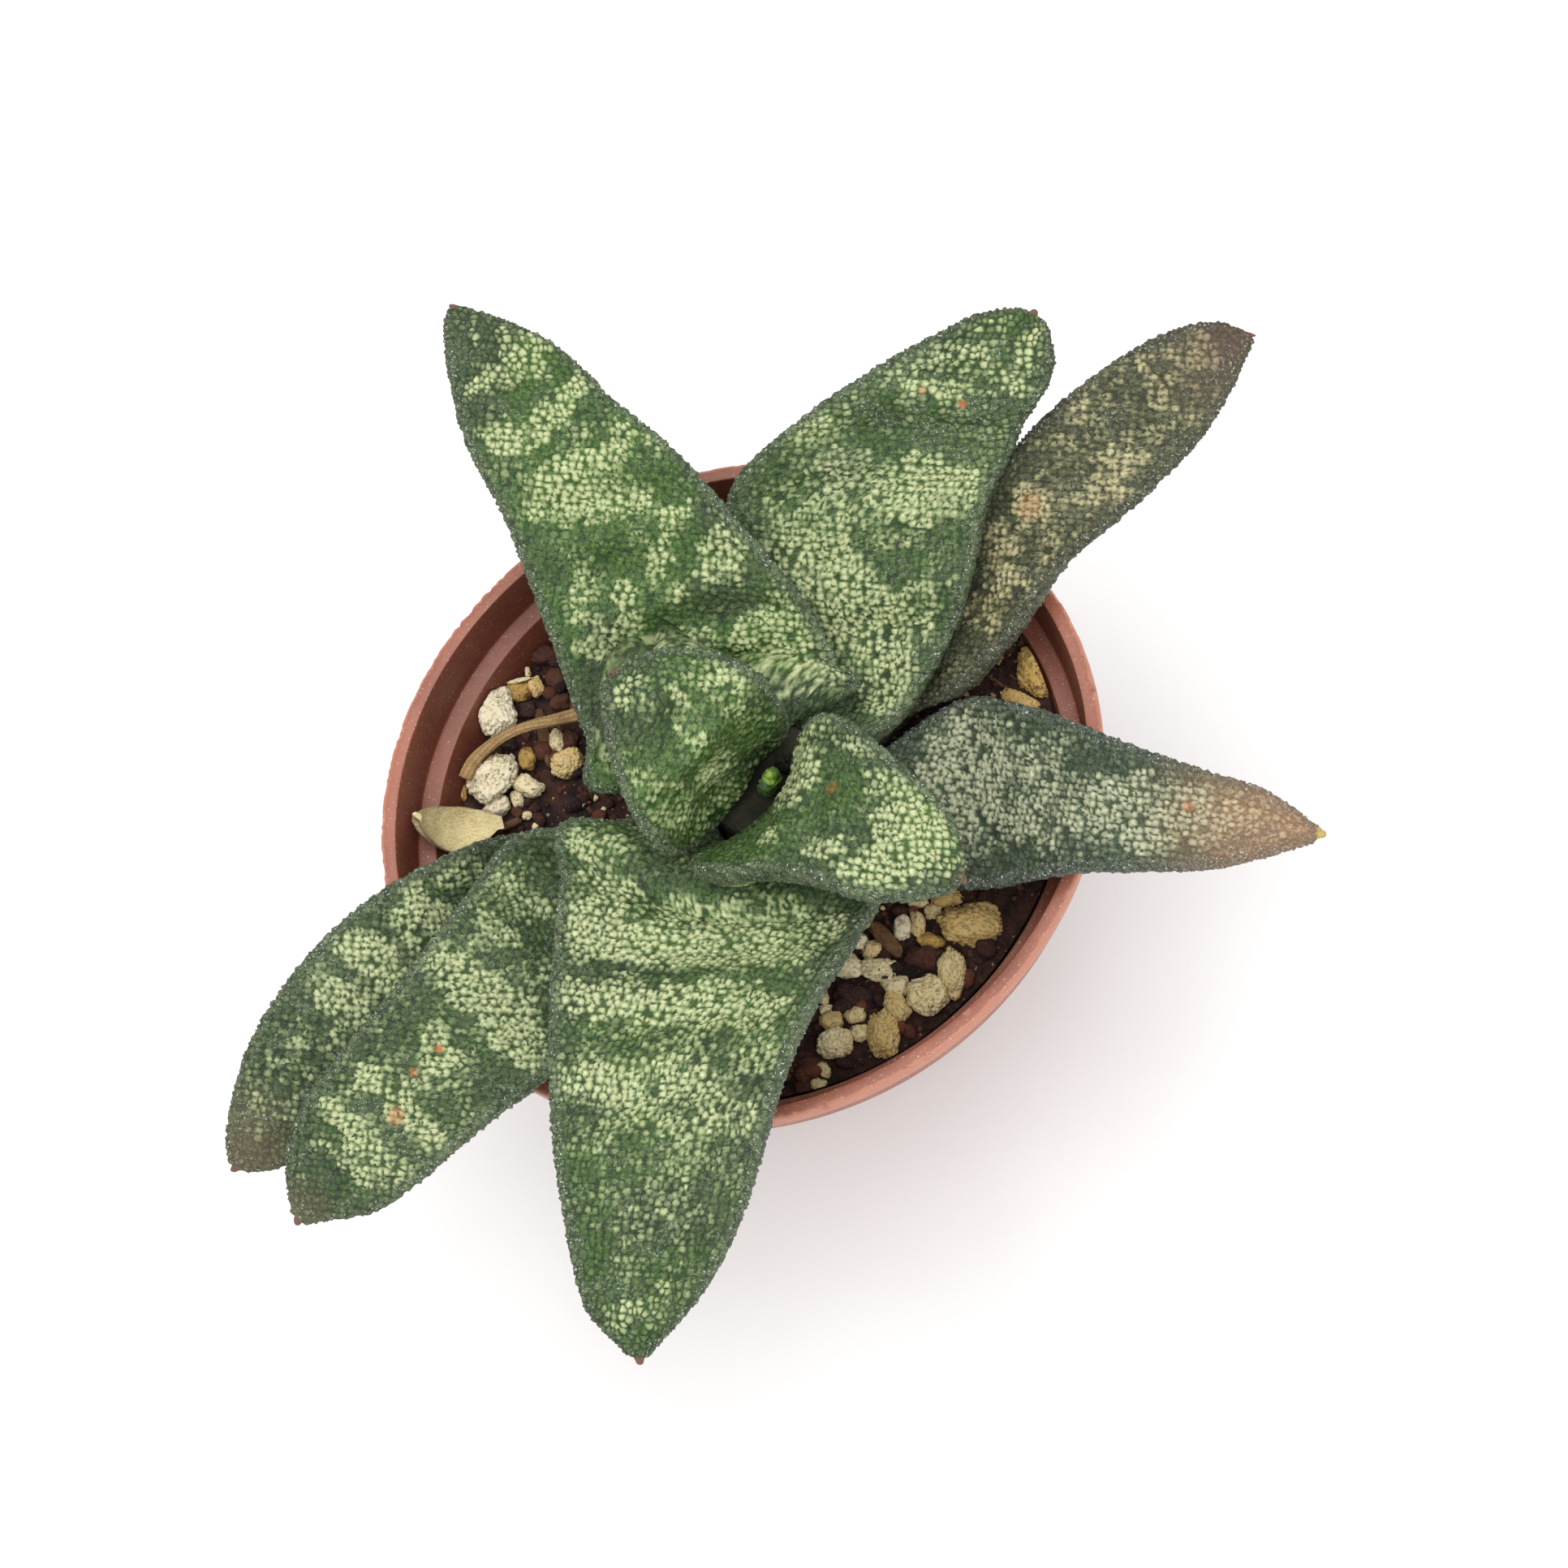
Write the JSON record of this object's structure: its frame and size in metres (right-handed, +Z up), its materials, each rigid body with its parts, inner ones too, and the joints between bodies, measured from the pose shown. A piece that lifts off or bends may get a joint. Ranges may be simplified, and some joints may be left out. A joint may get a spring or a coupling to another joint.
{
  "type": "potted gasteria",
  "caption": "Succulent with thick, warty, tapering leaves on a short stem, in gritty soil in a soft round plastic pot.",
  "frame": {"origin": "middle of the pot's underside, on the plane that it stands on", "axes": "+Z up along the pot's axis; +X towards the leaf that reaches out low to one side, -Y towards the broadest leaf"},
  "size_m": [0.1342, 0.1279, 0.1039],
  "materials": {
    "red_brown_plastic": "thin moulded plastic, satin, red-brown",
    "soil_and_grit": "dark crumbly soil with pale and ochre pumice",
    "leaf": "fleshy, dark green, covered with pale raised dots in bands",
    "stem": "short, fibrous, pale green-brown",
    "dry_leaf": "dry, cream, papery",
    "dry_stalk": "dry, brown, fibrous"
  },
  "bodies": {
    "root": {"pot": "red_brown_plastic", "soil": "soil_and_grit", "stem": "stem", "leaf_right": "leaf", "leaf_upper_right": "leaf", "leaf_far_left": "leaf", "leaf_top": "leaf", "leaf_lower_left": "leaf", "leaf_upper_left": "leaf", "leaf_front": "leaf", "leaf_heart_left": "leaf", "leaf_heart_right": "leaf", "leaf_bud": "leaf", "dry_leaf": "dry_leaf", "dry_stalk": "dry_stalk"}
  },
  "joints": []
}
